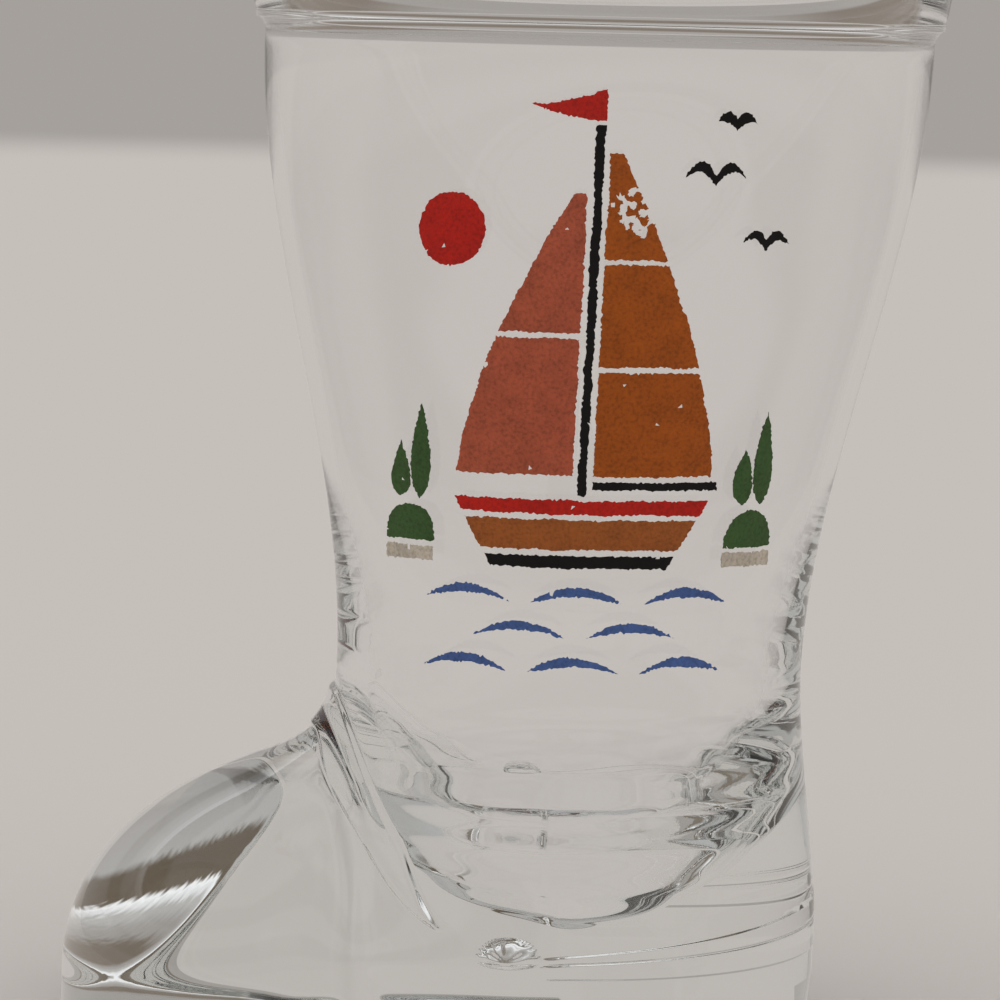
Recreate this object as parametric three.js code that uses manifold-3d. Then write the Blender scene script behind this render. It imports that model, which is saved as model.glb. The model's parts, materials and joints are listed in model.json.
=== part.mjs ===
// A boot-shaped shot glass: one pressed-glass body with a hollow leg and a solid foot,
// and a small sailing picture fired onto the side of the leg as separate patches of enamel.
// Millimetres, +Z up, toe towards -X. The origin is on the table, under the middle of the length.
import * as THREE from "three";
import { TessellateModifier } from "three/addons/modifiers/TessellateModifier.js";
import { mergeVertices } from "three/addons/utils/BufferGeometryUtils.js";
import Module from "manifold-3d";

const { clamp, degToRad, lerp, smoothstep } = THREE.MathUtils;

// Overall size
const bootHeight = 73.1;
const mouthDiameter = 47;
const toeToMouthAxis = 33.95;

// Cuff and lip
const cuffHeight = 6.85;
const cuffFlare = 1.1;
const cuffStep = 0.6;
const cuffRound = 1.05;
const rimWall = 2.4;

// Leg
const ankleDiameter = 30.6;
const ankleHeight = 24.1;
const legLean = 1;

// Cavity
const throatWall = 0.6;
const throatDepth = 10.5;
const legWall = 0.95;
const ankleWall = 2.1;
const ankleSwell = 13;
const cavityFloor = 7.1;
const bowlRoundness = 2;
const bowlLean = 1;

// Heel
const heelDiameter = 33.2;
const heelTop = 7.1;
const heelHeight = 4.4;
const heelTaper = 0.5;
const heelLength = 17.5;

// Foot
const footWidth = 35.6;
const waistWidth = 29.2;
const waistReach = 8.5;
const waistBulge = 6.5;
const toeLength = 12.5;
const toeRoundness = 2.3;
const toeBulge = 3.7;
const toeRise = 7.9;
const vampSlope = 10;
const vampRise = 3;
const instepHeight = 18.9;
const instepBack = 16.7;
const footRoundness = 2.48;
const waistRoundness = 1.5;
const waistSideRoundness = 1.2;
const ankleFillet = 5;
const filletEnd = 4;

// Sole
const soleEdge = 0.3;
const archRise = 0.6;
const archLength = 11;
const archSlope = 3;
const heelBreast = 0.6;

// Moulded spur
const buttonWidth = 3.5;
const buttonTall = 2.2;
const buttonRise = 0.8;
const buttonHeight = 7.8;
const buttonAngle = degToRad(78);
const strapRise = 0.4;
const strapFrontHeight = 19.9;
const strapFootHeight = 8.3;
const strapBend = degToRad(8);
const strapSweep = degToRad(72);
const strapWidth = 2.6;
const strapTaperStart = degToRad(51);
const strapTip = degToRad(62.5);
const strapFade = degToRad(3);
const bandRise = 0.15;
const bandFoot = 6.2;
const bandHead = 7.3;
const bandBackHead = 9.9;
const mouldedEdge = 0.3;

// Enamel film and the margins of the picture on the leg
const inkThickness = 0.15;
const inkClearance = 0.1;
const inkGap = 0.35;
const inkMesh = 2.2;
const pictureFootMargin = 1.4;
const pictureHeadMargin = 2.9;

// Waves, in rows below the hull
const waveRows = [3, 2, 3];
const waveRise = 2.2;
const wavePitch = 7.2;
const waveLength = 5.8;
const waveCrest = 1;
const waveThickness = 0.6;

// Hull
const hullLength = 16.6;
const hullRake = 0.62;
const keelHeight = 0.8;
const plankHeight = 1.9;
const railHeight = 0.9;

// Mast, boom, sails and pennant
const mastWidth = 0.55;
const mastHeight = 22.8;
const boomThickness = 0.5;
const boomOverhang = 0.4;
const mainsailWidth = 7.8;
const mainsailHeight = 20;
const mainsailPanels = 3;
const jibWidth = 7.6;
const jibHeight = 17.5;
const jibPanels = 2;
const sailHead = 0.8;
const sailBelly = 1.5;
const pennantLength = 4.4;
const pennantHeight = 1.9;

// Sun and gulls; a gull's place is beside the mast and under its top
const sunDiameter = 4.6;
const sunLeft = 9.2;
const sunDrop = 6.5;
const gullSpan = 4;
const gullRise = 0.9;
const gullThickness = 0.45;
const gulls = [
  { right: 7.4, drop: 3, scale: 1 },
  { right: 11.2, drop: 7, scale: 0.85 },
  { right: 8.6, drop: -0.3, scale: 0.7 },
];

// Hills, shores and trees beside the boat
const hillWidth = 4;
const hillHeight = 2.3;
const hillGap = 0.9;
const shoreHeight = 0.9;
const treeHeight = 6;
const treeWidth = 1.6;
const lowTree = 0.6;

// Mesh fineness
const around = 64;
const toeCrowding = 0.15;
const spineBend = 14;
const capSteps = 4;
const vampSteps = 18;
const strapSteps = 2;
const ankleSteps = 8;
const legSteps = 12;
const cuffSteps = 3;
const lipSteps = 6;
const cuffRoundSteps = 3;
const bowlSteps = 7;

// Places that follow from the sizes
const mouthRadius = mouthDiameter / 2;
const ankleRadius = ankleDiameter / 2;
const heelRadius = heelDiameter / 2;
const legTopRadius = mouthRadius - cuffFlare - cuffStep;
const cuffBottom = bootHeight - cuffHeight;
const legTop = cuffBottom - cuffRound;
const lipRadius = rimWall / 2;
const lipBase = bootHeight - lipRadius;
const toeTip = -(toeToMouthAxis + mouthRadius) / 2;
const mouthX = toeTip + toeToMouthAxis;
const ankleX = mouthX - legLean;
const ballX = toeTip + toeLength;
const soleMiddleX = (toeTip + ankleX + heelRadius) / 2;
const heelFront = ankleX + heelRadius - heelLength;
const archFront = heelFront - archLength;

// Heights and places in the picture, up and out from the middle of its foot
const hullFoot = waveRise * waveRows.length;
const plankFoot = hullFoot + keelHeight + inkGap;
const railFoot = plankFoot + plankHeight + inkGap;
const hullTop = railFoot + railHeight;
const mastFoot = hullTop + inkGap;
const mastTop = mastFoot + mastHeight;
const boomFoot = mastFoot + inkGap;
const sailFoot = boomFoot + boomThickness + inkGap;
const sailStart = mastWidth / 2 + inkGap;
const boomEnd = sailStart + mainsailWidth + boomOverhang;
const hillStart = Math.max(hullLength / 2, boomEnd) + hillGap;
const hillFoot = hullFoot + shoreHeight + inkGap;
const pennantFoot = mastTop + inkGap;

// The picture fills the leg between its margins
const pictureFoot = ankleHeight + pictureFootMargin;
const pictureScale = (legTop - pictureHeadMargin - pictureFoot) / (pennantFoot + pennantHeight);

// Outside of the leg and cuff

function legX(z) {
  return mouthX - legLean * clamp((cuffBottom - z) / (cuffBottom - ankleHeight), 0, 1);
}

function legRadius(z) {
  return lerp(ankleRadius, legTopRadius, smoothstep(z, ankleHeight, legTop));
}

function cuffRadius(z) {
  return mouthRadius - cuffFlare * (lipBase - z) / (lipBase - cuffBottom);
}

// Inside of the cavity

// Thickness of the leg's wall: thin at the throat, even down the leg, swelling at the ankle.
function wall(z) {
  const swell = 1 - smoothstep(z, ankleHeight - ankleSwell, ankleHeight + ankleSwell);
  const thin = smoothstep(z, legTop - throatDepth, legTop + throatDepth);
  return legWall + 2 * (ankleWall - legWall) * swell + 2 * (throatWall - legWall) * thin;
}

function cavityRadius(z) {
  const throat = legTopRadius - throatWall;
  if (z > legTop) {
    return lerp(throat, mouthRadius - rimWall, (z - legTop) / (bootHeight - legTop));
  }
  if (z > ankleHeight) {
    return legRadius(z) - wall(z);
  }
  const depth = (ankleHeight - z) / (ankleHeight - cavityFloor);
  return (ankleRadius - ankleWall) * Math.sqrt(1 - Math.pow(depth, bowlRoundness));
}

// The rounded bottom of the cavity leans towards the toe.
function bowlX(z) {
  return ankleX - bowlLean * (ankleHeight - z) / (ankleHeight - cavityFloor);
}

// Outside of the solid foot: a heel column under the ankle, blended into a foot that reaches to the toe.
// Both give a distance that is negative inside the glass.

const instep = new THREE.CubicBezierCurve(
  new THREE.Vector2(toeTip, toeBulge),
  new THREE.Vector2(toeTip, toeBulge + toeRise),
  new THREE.Vector2(toeTip + instepBack - vampSlope, instepHeight - vampRise),
  new THREE.Vector2(toeTip + instepBack, instepHeight),
).getPoints(160);

function instepAt(x) {
  const next = instep.findIndex((point) => point.x > x);
  if (next < 0) {
    return instepHeight;
  }
  const low = instep[Math.max(next - 1, 0)];
  const high = instep[next];
  return lerp(low.y, high.y, clamp((x - low.x) / (high.x - low.x), 0, 1));
}

// Share of the way from the ball of the foot back to its waist.
function waistShare(x) {
  return smoothstep(x, ballX, ballX + waistReach);
}

// Half width of the foot: round at the toe, widest at the ball and narrowing to the waist.
function footHalfWidth(x) {
  const forward = clamp((ballX - x) / toeLength, 0, 1);
  const full = lerp(footWidth, waistWidth, waistShare(x)) / 2;
  return full * Math.pow(1 - Math.pow(forward, toeRoundness), 1 / toeRoundness);
}

function heelColumn(x, y, z) {
  const bulge = lerp(heelRadius, ankleRadius, smoothstep(z, heelTop, ankleHeight));
  const taper = heelTaper * clamp(1 - z / heelHeight, 0, 1);
  return Math.hypot(x - ankleX, y) - bulge + taper;
}

function footBody(x, y, z) {
  if (x <= toeTip) {
    return toeTip - x + 1;
  }
  const halfWidth = footHalfWidth(x);
  const side = Math.hypot(Math.max(x - ankleX, 0), y) / halfWidth;
  const base = lerp(toeBulge, waistBulge, waistShare(x));
  const up = Math.max(z - base, 0) / Math.max(instepAt(x) - base, 1e-6);
  const roundness = lerp(footRoundness, waistRoundness, waistShare(x));
  const sideRoundness = lerp(footRoundness, waistSideRoundness, waistShare(x));
  const reach = Math.pow(Math.pow(side, sideRoundness) + Math.pow(up, roundness), 1 / roundness);
  return (reach - 1) * halfWidth;
}

function footDistance(x, y, z) {
  const heel = heelColumn(x, y, z);
  const foot = footBody(x, y, z);
  const fillet = Math.max(ankleFillet * smoothstep(ankleX - x, -filletEnd, filletEnd), 1e-6);
  const near = Math.max(fillet - Math.abs(heel - foot), 0) / fillet;
  return Math.min(heel, foot) - near * near * fillet / 4;
}

// Spine inside the glass: over the middle of the sole, then bending back to the ankle's axis.
function spineX(z) {
  return lerp(soleMiddleX, ankleX, smoothstep(z, spineBend, ankleHeight));
}

// Distance to the surface from an upright axis inside the glass, `angle` round from the toe.
function footRadius(axisX, z, angle) {
  const dx = -Math.cos(angle);
  const dy = -Math.sin(angle);
  const inside = (r) => footDistance(axisX + r * dx, r * dy, z) < 0;
  const stride = 0.5;
  let near = toeToMouthAxis + ankleRadius;
  while (near > stride && !inside(near)) {
    near -= stride;
  }
  let far = near + stride;
  for (let i = 0; i < 30; i += 1) {
    const middle = (near + far) / 2;
    if (inside(middle)) {
      near = middle;
    } else {
      far = middle;
    }
  }
  return near;
}

// Flat-topped ridge of a given half width, falling away over the moulded edge.
function ridge(distance, halfWidth) {
  return 1 - smoothstep(distance, halfWidth - mouldedEdge, halfWidth + mouldedEdge);
}

// Lower edge and width of the strap over the instep, which runs out to a point on each side of the foot.
function strapFoot(turn) {
  return lerp(strapFrontHeight, strapFootHeight, smoothstep(turn, strapBend, strapSweep));
}

function strapSpan(turn) {
  return strapWidth * clamp((strapTip - turn) / (strapTip - strapTaperStart), 0, 1);
}

// How far the spur stands out of the foot: the strap, and the band round the heel, which widens
// towards the back.
function spurRise(z, angle) {
  const turn = Math.abs(angle);
  if (turn > buttonAngle) {
    const head = lerp(bandHead, bandBackHead, (turn - buttonAngle) / (Math.PI - buttonAngle));
    return bandRise * ridge(Math.abs(z - (bandFoot + head) / 2), (head - bandFoot) / 2);
  }
  const half = strapSpan(turn) / 2;
  const fade = clamp((strapTip - turn) / strapFade, 0, 1);
  return strapRise * fade * ridge(Math.abs(z - strapFoot(turn) - half), half);
}

// Point on the outside of the foot, with the sole's lower edge rounded and the spur standing out.
function footPoint(z, angle) {
  const curl = clamp(1 - z / soleEdge, 0, 1);
  const edge = soleEdge * (1 - Math.sqrt(1 - curl * curl));
  const out = footRadius(spineX(z), z, angle) - edge;
  const x = spineX(z) - out * Math.cos(angle);
  const y = -out * Math.sin(angle);
  const turn = Math.atan2(-y, ankleX - x);
  const rise = spurRise(z, turn);
  return new THREE.Vector3(x - rise * Math.cos(turn), y - rise * Math.sin(turn), z);
}

function solePoint(share, angle) {
  return footPoint(0, angle).lerp(new THREE.Vector3(soleMiddleX, 0, 0), 1 - share);
}

function roundPoint(x, radius, z, angle) {
  return new THREE.Vector3(x - radius * Math.cos(angle), -radius * Math.sin(angle), z);
}

// Glass body: rings from the middle of the sole out, up the outside, over the lip and down the cavity.

function steps(count) {
  return Array.from({ length: count }, (_, i) => (i + 1) / count);
}

const angles = Array.from({ length: around }, (_, i) => {
  const even = 2 * Math.PI * i / around - Math.PI;
  return even - toeCrowding * Math.sin(even);
});

function ringOf(place) {
  return angles.map((angle) => place(angle));
}

// Height at which a line up the skin meets the strap, a share of the way up the strap's width. Behind the
// strap's tips it stays level.
function strapLevel(share, angle) {
  let low = soleEdge + 2 * mouldedEdge;
  let high = ankleHeight - 2 * mouldedEdge;
  for (let i = 0; i < 20; i += 1) {
    const z = (low + high) / 2;
    const radius = footRadius(spineX(z), z, angle);
    const forward = ankleX - spineX(z) + radius * Math.cos(angle);
    const turn = Math.min(Math.atan2(Math.abs(radius * Math.sin(angle)), forward), strapTip);
    if (z > strapFoot(turn) + share * strapSpan(turn)) {
      high = z;
    } else {
      low = z;
    }
  }
  return (low + high) / 2;
}

// Heights of the foot's rings on one line up the skin. The rings follow the strap, so that its edges are clean.
function footHeights(angle) {
  const bottom = strapLevel(0, angle);
  const top = strapLevel(1, angle);
  const middle = (bottom + top) / 2;
  const inset = mouldedEdge / 4;
  const parts = [
    [soleEdge, bottom - mouldedEdge, vampSteps],
    [bottom - mouldedEdge, Math.min(bottom + mouldedEdge, middle - inset), strapSteps],
    [Math.min(bottom + mouldedEdge, middle - inset), Math.max(top - mouldedEdge, middle + inset), 1],
    [Math.max(top - mouldedEdge, middle + inset), top + mouldedEdge, strapSteps],
    [top + mouldedEdge, ankleHeight, ankleSteps],
  ];
  return parts.flatMap(([from, to, count]) => steps(count).map((share) => lerp(from, to, share)));
}

function glassRings() {
  const rings = [];
  for (const share of steps(capSteps).slice(0, -1)) {
    rings.push(ringOf((angle) => solePoint(share, angle)));
  }
  for (const share of [0, 0.2, 0.5, 1]) {
    rings.push(ringOf((angle) => footPoint(soleEdge * share, angle)));
  }
  const heights = angles.map(footHeights);
  for (let level = 0; level < heights[0].length - 1; level += 1) {
    rings.push(angles.map((angle, i) => footPoint(heights[i][level], angle)));
  }
  for (const share of [0, ...steps(legSteps)]) {
    const z = lerp(ankleHeight, legTop, share);
    const spur = (angle) => spurRise(z, angle);
    rings.push(ringOf((angle) => roundPoint(legX(z), legRadius(z) + spur(angle), z, angle)));
  }
  for (const share of steps(cuffRoundSteps)) {
    const turn = share * Math.PI / 2;
    const radius = legTopRadius + cuffStep * (1 - Math.cos(turn));
    const z = legTop + cuffRound * Math.sin(turn);
    rings.push(ringOf((angle) => roundPoint(legX(z), radius, z, angle)));
  }
  for (const share of steps(cuffSteps)) {
    const z = lerp(cuffBottom, lipBase, share);
    rings.push(ringOf((angle) => roundPoint(mouthX, cuffRadius(z), z, angle)));
  }
  for (const share of steps(lipSteps)) {
    const turn = Math.PI * share;
    const radius = cuffRadius(lipBase) - lipRadius * (1 - Math.cos(turn));
    const z = lipBase + lipRadius * Math.sin(turn);
    rings.push(ringOf((angle) => roundPoint(mouthX, radius, z, angle)));
  }
  for (const share of [...steps(cuffSteps), ...steps(legSteps).map((step) => 1 + step)]) {
    const z = share > 1 ? lerp(legTop, ankleHeight, share - 1) : lerp(lipBase, legTop, share);
    rings.push(ringOf((angle) => roundPoint(legX(z), cavityRadius(z), z, angle)));
  }
  for (const share of steps(bowlSteps).slice(0, -1)) {
    const z = lerp(cavityFloor, ankleHeight, (1 - share) * (1 - share));
    rings.push(ringOf((angle) => roundPoint(bowlX(z), cavityRadius(z), z, angle)));
  }
  return rings;
}

function closedSkin(first, rings, last) {
  const points = [first, ...rings.flat(), last];
  const at = (ring, i) => 1 + ring * around + i % around;
  const faces = [];
  for (let i = 0; i < around; i += 1) {
    faces.push(0, at(0, i + 1), at(0, i));
    faces.push(at(rings.length - 1, i), at(rings.length - 1, i + 1), points.length - 1);
    for (let ring = 0; ring < rings.length - 1; ring += 1) {
      faces.push(at(ring, i), at(ring, i + 1), at(ring + 1, i + 1));
      faces.push(at(ring, i), at(ring + 1, i + 1), at(ring + 1, i));
    }
  }
  const geometry = new THREE.BufferGeometry().setFromPoints(points);
  geometry.setIndex(faces);
  return geometry;
}

// Domed oval button at the front end of the heel band, on one side of the foot.
function spurButton(side) {
  const angle = side * buttonAngle;
  const middle = roundPoint(ankleX, footRadius(ankleX, buttonHeight, angle), buttonHeight, angle);
  const dome = new THREE.SphereGeometry(1, 20, 12).rotateX(Math.PI / 2);
  dome.scale(buttonRise, buttonWidth / 2, buttonTall / 2).rotateZ(angle);
  return dome.translate(middle.x, middle.y, middle.z);
}

// Arch across the underside: a curved rise behind the ball, a flat roof and a sloping heel breast.
function archCutter() {
  const below = archRise;
  const shape = new THREE.Shape();
  shape.moveTo(archFront, -below);
  shape.lineTo(archFront, 0);
  shape.bezierCurveTo(
    archFront + archSlope / 2, 0,
    archFront + archSlope / 2, archRise,
    archFront + archSlope, archRise,
  );
  shape.lineTo(heelFront - heelBreast, archRise);
  shape.lineTo(heelFront, 0);
  shape.lineTo(heelFront, -below);
  const across = 2 * heelDiameter;
  const cutter = new THREE.ExtrudeGeometry(shape, { depth: across, bevelEnabled: false, curveSegments: 6 });
  return cutter.rotateX(Math.PI / 2).translate(0, across / 2, 0);
}

const wasm = await Module();
wasm.setup();

function solid(geometry) {
  const bare = new THREE.BufferGeometry();
  bare.setAttribute("position", geometry.getAttribute("position"));
  bare.setIndex(geometry.getIndex());
  const welded = mergeVertices(bare, 1e-5);
  return new wasm.Manifold(new wasm.Mesh({
    numProp: 3,
    vertProperties: new Float32Array(welded.getAttribute("position").array),
    triVerts: new Uint32Array(welded.getIndex().array),
  }));
}

function skin(body) {
  const mesh = body.getMesh();
  const geometry = new THREE.BufferGeometry();
  geometry.setAttribute("position", new THREE.BufferAttribute(mesh.vertProperties, 3));
  geometry.setIndex(new THREE.BufferAttribute(mesh.triVerts, 1));
  return geometry;
}

const group = new THREE.Group();
group.name = "boot_shot_glass";

function addPiece(name, geometry, material) {
  geometry.computeVertexNormals();
  const mesh = new THREE.Mesh(geometry, material);
  mesh.name = name;
  group.add(mesh);
}

const glass = new THREE.MeshStandardMaterial({ color: 0xdce3e0, roughness: 0.04, metalness: 0 });
const soleMiddle = new THREE.Vector3(soleMiddleX, 0, 0);
const floorMiddle = new THREE.Vector3(bowlX(cavityFloor), 0, cavityFloor);
const pressed = solid(closedSkin(soleMiddle, glassRings(), floorMiddle));
const buttoned = pressed.add(solid(spurButton(1))).add(solid(spurButton(-1)));
addPiece("glass_boot", skin(buttoned.subtract(solid(archCutter()))), glass);

// Enamel patches: drawn flat, u to the right and v up from the picture's foot, then laid on the leg.

function ink(color) {
  return new THREE.MeshStandardMaterial({ color, roughness: 0.45, metalness: 0 });
}

function onLeg(u, v, lift) {
  const z = pictureFoot + v * pictureScale;
  const radius = legRadius(z);
  const out = radius + inkClearance + lift;
  return new THREE.Vector3(legX(z) + out * Math.sin(u / radius), -out * Math.cos(u / radius), z);
}

const divide = new TessellateModifier(inkMesh, 8);

function addPatch(name, shape, color) {
  const slab = new THREE.ExtrudeGeometry(shape, {
    depth: inkThickness,
    bevelEnabled: false,
    curveSegments: 8,
  });
  const position = divide.modify(slab).getAttribute("position");
  const points = [];
  for (let i = 0; i < position.count; i += 1) {
    points.push(onLeg(position.getX(i), position.getY(i), position.getZ(i)));
  }
  const film = mergeVertices(new THREE.BufferGeometry().setFromPoints(points), 1e-4);
  addPiece(`print_${name}`, film, ink(color));
}

function shapeOf(points) {
  return new THREE.Shape(points.map(([u, v]) => new THREE.Vector2(u, v)));
}

const pink = 0x8c4633;
const ochre = 0x82420f;
const brown = 0x7e4f31;
const red = 0x962818;
const blue = 0x384874;
const green = 0x34401f;
const black = 0x1b1413;
const stone = 0x978d80;

// Hull, from the waterline up: keel, planks and rail
function strake(bottom, height) {
  const half = (v) => hullLength / 2 - hullRake * (hullTop - v);
  return shapeOf([
    [-half(bottom), bottom],
    [half(bottom), bottom],
    [half(bottom + height), bottom + height],
    [-half(bottom + height), bottom + height],
  ]);
}

addPatch("hull_keel", strake(hullFoot, keelHeight), black);
addPatch("hull_planks", strake(plankFoot, plankHeight), brown);
addPatch("hull_rail", strake(railFoot, railHeight), red);

// Mast and boom
function bar(left, right, bottom, top) {
  return shapeOf([[left, bottom], [right, bottom], [right, top], [left, top]]);
}

addPatch("mast", bar(-mastWidth / 2, mastWidth / 2, mastFoot, mastTop), black);
addPatch("boom", bar(sailStart, boomEnd, boomFoot, boomFoot + boomThickness), black);

// Sails, each cut into panels; the free edge bellies out from the head to the foot
function sailPanel(side, width, height, panel, panels) {
  const seam = inkGap / 2;
  const low = panel === 0 ? 0 : height * panel / panels + seam;
  const high = panel === panels - 1 ? height : height * (panel + 1) / panels - seam;
  const edge = (v) => sailStart + sailHead + (width - sailHead) * (1 - Math.pow(v / height, sailBelly));
  const free = [0, 0.25, 0.5, 0.75, 1].map((share) => {
    const v = lerp(low, high, share);
    return [side * edge(v), sailFoot + v];
  });
  return shapeOf([...free, [side * sailStart, sailFoot + high], [side * sailStart, sailFoot + low]]);
}

for (let panel = 0; panel < mainsailPanels; panel += 1) {
  const shape = sailPanel(1, mainsailWidth, mainsailHeight, panel, mainsailPanels);
  addPatch(`mainsail_${panel + 1}`, shape, ochre);
}
for (let panel = 0; panel < jibPanels; panel += 1) {
  const shape = sailPanel(-1, jibWidth, jibHeight, panel, jibPanels);
  addPatch(`jib_${panel + 1}`, shape, pink);
}

// Pennant over the masthead, flying to the left
function pennantShape() {
  const middle = pennantFoot + pennantHeight / 2;
  const shape = new THREE.Shape();
  shape.moveTo(mastWidth / 2, pennantFoot);
  shape.lineTo(mastWidth / 2, pennantFoot + pennantHeight);
  shape.quadraticCurveTo(-pennantLength / 2, middle, -pennantLength, middle);
  shape.quadraticCurveTo(-pennantLength / 2, pennantFoot, mastWidth / 2, pennantFoot);
  return shape;
}

addPatch("pennant", pennantShape(), red);

// Sun and gulls
const sunDisc = new THREE.Shape().absarc(-sunLeft, mastTop - sunDrop, sunDiameter / 2, 0, 2 * Math.PI);
addPatch("sun", sunDisc, red);

function gullShape(u, v, scale) {
  const half = gullSpan / 2 * scale;
  const lift = 2 * gullRise * scale;
  const shape = new THREE.Shape();
  shape.moveTo(u - half, v);
  shape.quadraticCurveTo(u - half / 2, v + lift - 2 * gullThickness, u, v - gullThickness);
  shape.quadraticCurveTo(u + half / 2, v + lift - 2 * gullThickness, u + half, v);
  shape.quadraticCurveTo(u + half / 2, v + lift, u, v + gullThickness / 2);
  shape.quadraticCurveTo(u - half / 2, v + lift, u - half, v);
  return shape;
}

gulls.forEach(({ right, drop, scale }, i) => {
  addPatch(`gull_${i + 1}`, gullShape(right, mastTop - drop, scale), black);
});

// Hills on both sides of the boat, each with a strip of shore below and two trees above
function hillShape(side) {
  const inner = side * hillStart;
  const outer = inner + side * hillWidth;
  const top = hillFoot + hillHeight;
  const shape = new THREE.Shape();
  shape.moveTo(inner, hillFoot);
  shape.quadraticCurveTo(inner, top, (inner + outer) / 2, top);
  shape.quadraticCurveTo(outer, top, outer, hillFoot);
  return shape;
}

function shoreShape(side) {
  const ends = [side * hillStart, side * (hillStart + hillWidth)].sort((a, b) => a - b);
  return bar(ends[0], ends[1], hullFoot, hullFoot + shoreHeight);
}

function treeShape(side, share, scale) {
  const u = side * (hillStart + hillWidth * share);
  const foot = hillFoot + hillHeight + inkGap;
  const tip = foot + treeHeight * scale;
  const full = lerp(foot, tip, 0.2);
  const shape = new THREE.Shape();
  shape.moveTo(u, foot);
  shape.quadraticCurveTo(u + treeWidth, full, u, tip);
  shape.quadraticCurveTo(u - treeWidth, full, u, foot);
  return shape;
}

for (const [word, side] of [["left", -1], ["right", 1]]) {
  addPatch(`hill_${word}`, hillShape(side), green);
  addPatch(`shore_${word}`, shoreShape(side), stone);
  addPatch(`tree_${word}_1`, treeShape(side, 0.3, side < 0 ? 1 : lowTree), green);
  addPatch(`tree_${word}_2`, treeShape(side, 0.7, side < 0 ? lowTree : 1), green);
}

// Waves
function waveShape(u, v) {
  const shape = new THREE.Shape();
  shape.moveTo(u - waveLength / 2, v);
  shape.quadraticCurveTo(u, v + 2 * (waveCrest - waveThickness), u + waveLength / 2, v);
  shape.quadraticCurveTo(u, v + 2 * waveCrest, u - waveLength / 2, v);
  return shape;
}

let waveCount = 0;
waveRows.forEach((count, row) => {
  for (let i = 0; i < count; i += 1) {
    waveCount += 1;
    const u = (i - (count - 1) / 2) * wavePitch;
    addPatch(`wave_${waveCount}`, waveShape(u, waveRise * row), blue);
  }
});

export default group;
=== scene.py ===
"""Looks for a boot-shaped shot glass: fine pressed glass, fired enamel films, a plain studio."""

import json
import math

import bmesh
import bpy
import numpy as np
from mathutils import Euler, Matrix, Vector, geometry, noise


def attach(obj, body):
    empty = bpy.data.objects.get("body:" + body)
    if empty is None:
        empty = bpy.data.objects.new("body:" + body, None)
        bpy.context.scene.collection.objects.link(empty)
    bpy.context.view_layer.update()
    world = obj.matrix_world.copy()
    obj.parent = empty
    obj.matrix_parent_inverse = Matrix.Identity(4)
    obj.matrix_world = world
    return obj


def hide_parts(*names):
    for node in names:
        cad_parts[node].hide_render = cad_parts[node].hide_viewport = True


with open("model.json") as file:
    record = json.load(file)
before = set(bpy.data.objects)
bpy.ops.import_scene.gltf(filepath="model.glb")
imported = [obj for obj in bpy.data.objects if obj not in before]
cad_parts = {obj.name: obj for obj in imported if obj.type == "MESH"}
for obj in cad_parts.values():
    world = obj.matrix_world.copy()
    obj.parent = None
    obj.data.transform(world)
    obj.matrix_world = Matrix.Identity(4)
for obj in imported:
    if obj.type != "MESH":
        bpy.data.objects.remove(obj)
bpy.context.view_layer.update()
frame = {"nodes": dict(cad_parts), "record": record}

MM = 0.001

# Sizes of the glass in millimetres. The solids have the same ones, apart from the fine relief.

# Overall
boot_height = 73.1
mouth_radius = 23.5
toe_to_mouth_axis = 33.95

# Cuff and lip
cuff_height = 6.85
cuff_flare = 1.1
cuff_step = 0.6
cuff_round = 1.05
rim_wall = 2.4

# Leg
ankle_radius = 15.3
ankle_height = 24.1
leg_lean = 1.0

# Cavity
throat_wall = 0.6
throat_depth = 10.5
leg_wall = 0.95
ankle_wall = 2.1
ankle_swell = 13.0
cavity_floor = 7.1
bowl_roundness = 2.0
bowl_lean = 1.0

# Heel
heel_radius = 16.6
heel_top = 7.1
heel_height = 4.4
heel_taper = 0.5
heel_length = 17.5

# Foot
foot_half_width = 17.8
waist_half_width = 14.6
waist_reach = 8.5
waist_bulge = 6.5
toe_length = 12.5
toe_roundness = 2.3
toe_bulge = 3.7
toe_rise = 7.9
vamp_slope = 10.0
vamp_rise = 3.0
instep_height = 18.9
instep_back = 16.7
foot_roundness = 2.48
waist_roundness = 1.5
waist_side_roundness = 1.2
ankle_fillet = 5.0
fillet_end = 4.0
spine_bend = 14.0

# Sole
sole_edge = 0.3
arch_rise = 0.6
arch_length = 11.0
arch_slope = 3.0
heel_breast = 0.6

# Moulded strap over the instep
strap_rise = 0.4
strap_front_height = 19.9
strap_foot_height = 8.3
strap_bend = math.radians(8)
strap_sweep = math.radians(72)
strap_width = 2.6
strap_taper_start = math.radians(51)
strap_tip = math.radians(62.5)

# Buttons at the strap's ends
button_width = 3.5
button_rise = 0.8
button_angle = math.radians(78)

# Heel band
band_foot = 6.2
band_head = 7.3
band_back_head = 9.9

# Fine relief of the skin: strap edges, button, heel band, and the waves in the bowl
strap_edge = 0.2
strap_fade = 0.05
button_above = 1.55
button_below = 0.45
button_height = 7.25
button_flutes = 5
button_flute_depth = 0.07
button_flute_start = 0.1
button_flute_end = 0.5
band_rise = 0.09
band_edge = 0.1
band_line = 7.0
band_back_line = 8.25
band_start = math.radians(86)
band_start_fade = 0.02
band_groove = 0.06
band_groove_width = 0.07
chill_depth = 0.06
chill_pitch = 3.4
chill_start = 4.0
chill_end = 4.0

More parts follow.
